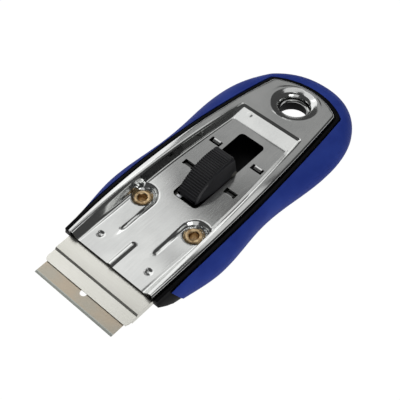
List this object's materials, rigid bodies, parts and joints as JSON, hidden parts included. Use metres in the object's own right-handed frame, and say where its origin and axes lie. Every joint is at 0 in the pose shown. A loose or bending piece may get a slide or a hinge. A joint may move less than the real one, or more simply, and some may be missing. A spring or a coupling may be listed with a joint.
{
  "type": "retractable blade scraper",
  "caption": "Hand scraper with a single-edge blade that a thumb slide moves in and out of a flat steel-covered handle with a soft blue grip and a hanging hole.",
  "frame": {"origin": "on the flat back, below the middle of the box round the tool with its blade out", "axes": "+Z out of the steel cover, +Y from the blade to the hanging hole, +X to the right of the cover seen from above with the blade towards the viewer"},
  "size_m": [0.0584, 0.1471, 0.019],
  "materials": {
    "cover_steel": "satin pressed stainless steel",
    "carrier_steel": "bright rolled steel",
    "spring_steel": "polished spring steel",
    "blade_steel": "oiled tool steel with a ground edge",
    "rivet_brass": "antique brass plate",
    "tray_plastic": "moulded black plastic",
    "slide_plastic": "moulded black plastic",
    "grip_rubber": "soft blue overmould"
  },
  "bodies": {
    "handle": {"top_cover": "cover_steel", "body_tray": "tray_plastic", "soft_grip": "grip_rubber", "rivet_left": "rivet_brass", "rivet_right": "rivet_brass", "washer_left": "carrier_steel", "washer_right": "carrier_steel", "drag_spring_left": "spring_steel", "drag_spring_right": "spring_steel"},
    "carriage": {"blade_carrier": "carrier_steel", "lower_jaw": "carrier_steel", "jaw_rivets": "carrier_steel", "slide_saddle": "slide_plastic", "slide_pin": "spring_steel", "lock_spring": "spring_steel"},
    "slide_button": {"thumb_slide": "slide_plastic"},
    "blade": {"blade": "blade_steel"}
  },
  "joints": [
    {"name": "carriage_slide", "type": "slide", "parent": "handle", "child": "carriage", "axis": [0, 1, 0], "range_m": [0, 0.019]},
    {"name": "thumb_press", "type": "slide", "parent": "carriage", "child": "slide_button", "axis": [0, 0, -1], "range_m": [0, 0.001], "stiffness_N_per_m": 800, "deforming": ["lock_spring"]},
    {"name": "blade_change", "type": "slide", "parent": "carriage", "child": "blade", "axis": [0, -1, 0], "range_m": [0, 0.0215]}
  ]
}
